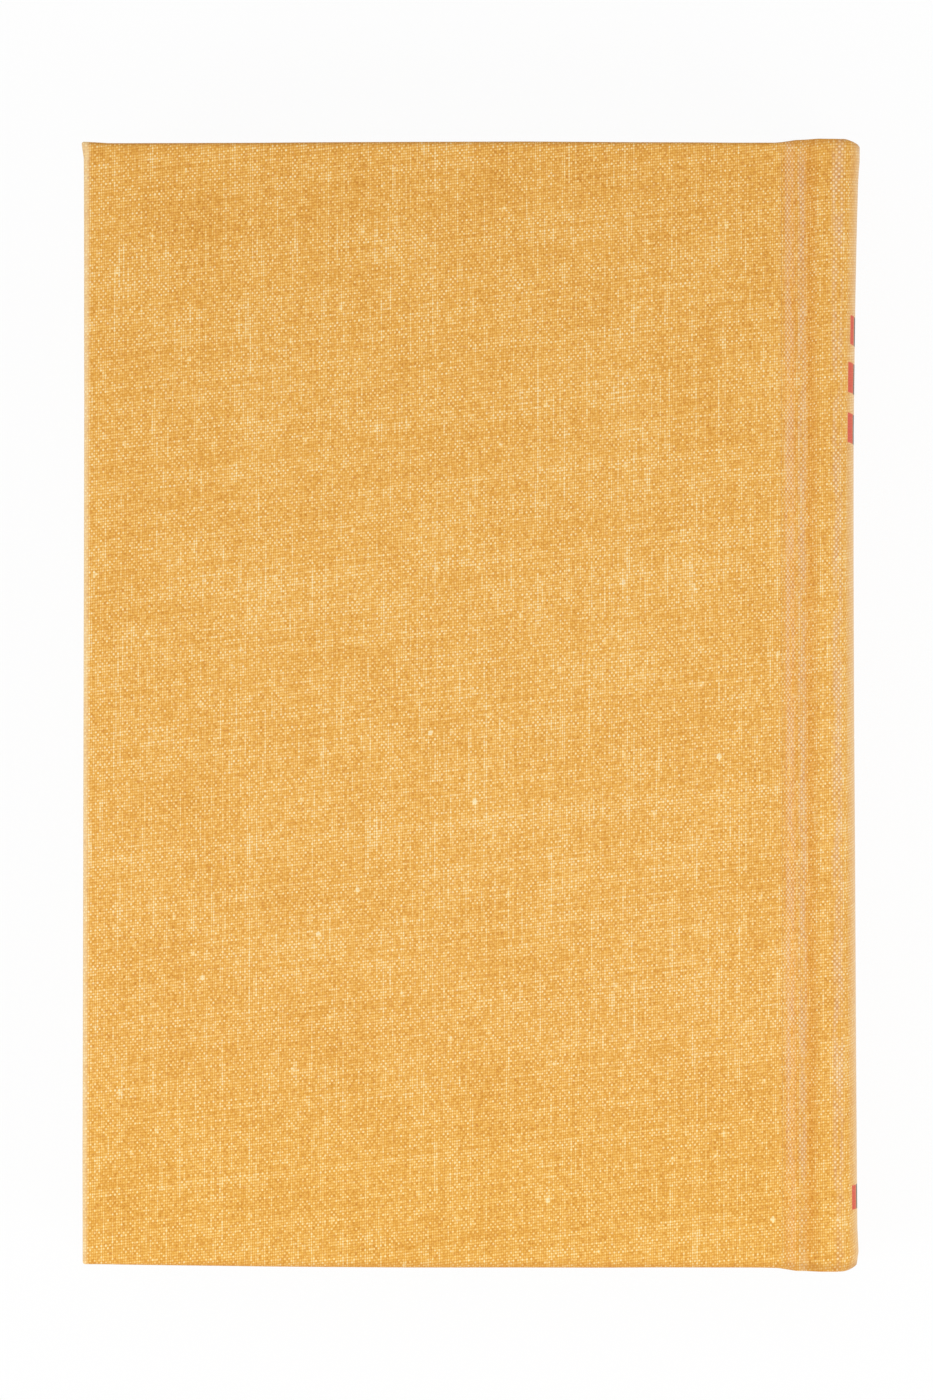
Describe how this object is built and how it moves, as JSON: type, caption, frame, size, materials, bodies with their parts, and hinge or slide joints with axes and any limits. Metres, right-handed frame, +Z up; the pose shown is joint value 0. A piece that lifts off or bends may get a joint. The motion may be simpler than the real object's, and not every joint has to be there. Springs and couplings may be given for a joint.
{
  "type": "hardback book",
  "caption": "Cloth-covered hardback book with a rounded spine and pressed joints; both covers swing open from a rounded and backed page block.",
  "frame": {"origin": "under the middle of the closed book, on the surface that its front cover lies on", "axes": "+X from fore edge to spine, +Y from tail to head, +Z up from the front cover to the back cover"},
  "size_m": [0.1526, 0.2232, 0.028],
  "materials": {
    "book_cloth": "ochre-yellow plain-weave book cloth, matt",
    "greyboard": "dense grey-brown board",
    "endpaper": "smooth cream endpaper",
    "pages": "trimmed page edges, cream",
    "headband": "woven cotton band",
    "mull": "open starched gauze",
    "kraft": "brown kraft paper",
    "card": "bendable spine card"
  },
  "bodies": {
    "text_block": {"page_block": "pages", "back_flyleaf": "endpaper", "front_flyleaf": "endpaper", "head_band": "headband", "tail_band": "headband", "spine_mull": "mull", "spine_liner": "kraft", "spine_inlay": "card", "spine_cloth": "book_cloth"},
    "back_cover": {"back_board": "greyboard", "back_cloth": "book_cloth", "back_pastedown": "endpaper"},
    "front_cover": {"front_board": "greyboard", "front_cloth": "book_cloth", "front_pastedown": "endpaper"}
  },
  "joints": [
    {"name": "back_cover_hinge", "type": "hinge", "parent": "text_block", "child": "back_cover", "pos_m": [0.06513, 0, 0.028], "axis": [0, 1, 0], "range_deg": [0, 179]},
    {"name": "front_cover_hinge", "type": "hinge", "parent": "text_block", "child": "front_cover", "pos_m": [0.06513, 0, 0], "axis": [0, -1, 0], "range_deg": [0, 179]}
  ]
}
